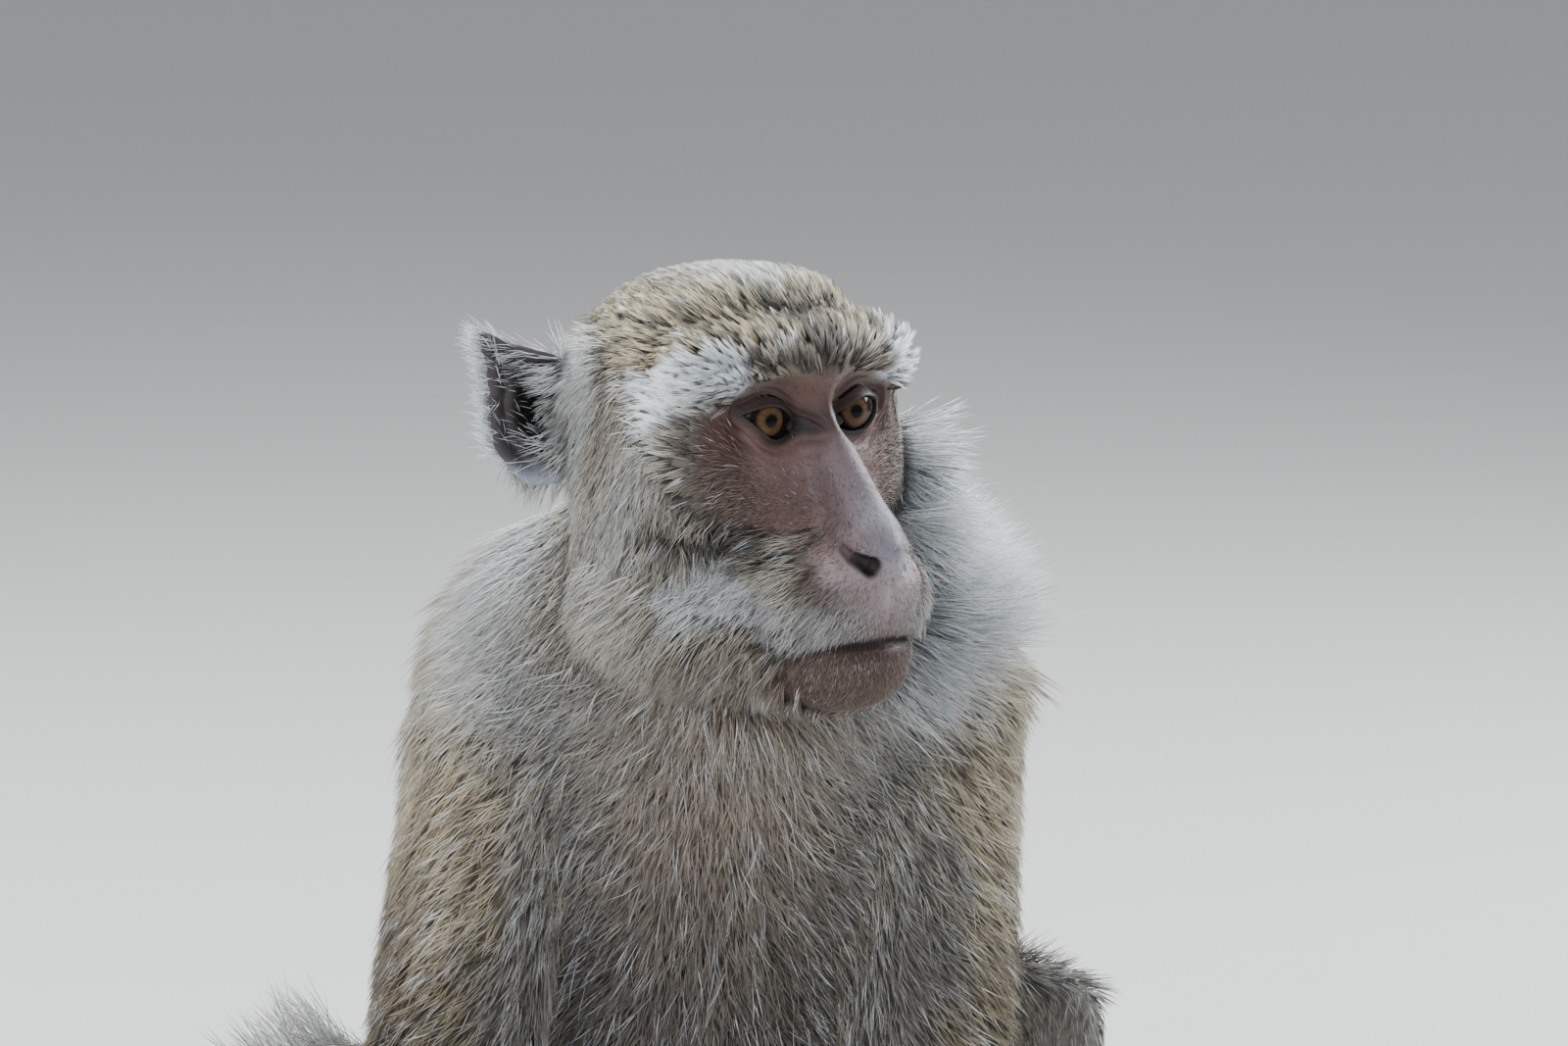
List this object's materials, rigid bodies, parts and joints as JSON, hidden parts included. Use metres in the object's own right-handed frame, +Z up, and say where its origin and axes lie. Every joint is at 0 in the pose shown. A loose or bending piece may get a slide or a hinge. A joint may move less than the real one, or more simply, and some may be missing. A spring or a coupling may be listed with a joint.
{
  "type": "long-tailed macaque",
  "caption": "Seated long-tailed macaque as a still life-size museum model: hands and feet on the floor, head turned to its left, whiskered face, tail laid round behind.",
  "frame": {"origin": "on the floor, in the middle of the flat that the monkey sits on", "axes": "+Z up from the floor; the chest faces 10 degrees from -Y towards +X, and the face 42 degrees from -Y towards +X"},
  "size_m": [0.3668, 0.406, 0.3718],
  "materials": {
    "head_coat": "matte",
    "grey_coat": "matte",
    "gold_coat": "matte",
    "tail_coat": "matte",
    "ear_skin": "satin",
    "hand_skin": "satin",
    "eye": "gloss",
    "nail": "satin"
  },
  "bodies": {
    "root": {"head": "head_coat", "neck": "head_coat", "chest": "grey_coat", "hips": "grey_coat", "eye_left": "eye", "ear_left": "ear_skin", "upper_arm_left": "gold_coat", "forearm_left": "gold_coat", "hand_left": "hand_skin", "thigh_left": "grey_coat", "shank_left": "grey_coat", "foot_left": "hand_skin", "eye_right": "eye", "ear_right": "ear_skin", "upper_arm_right": "gold_coat", "forearm_right": "gold_coat", "hand_right": "hand_skin", "thigh_right": "grey_coat", "shank_right": "grey_coat", "foot_right": "hand_skin", "tail_1": "tail_coat", "tail_2": "tail_coat", "tail_3": "tail_coat", "tail_4": "tail_coat", "tail_5": "tail_coat"}
  },
  "joints": []
}
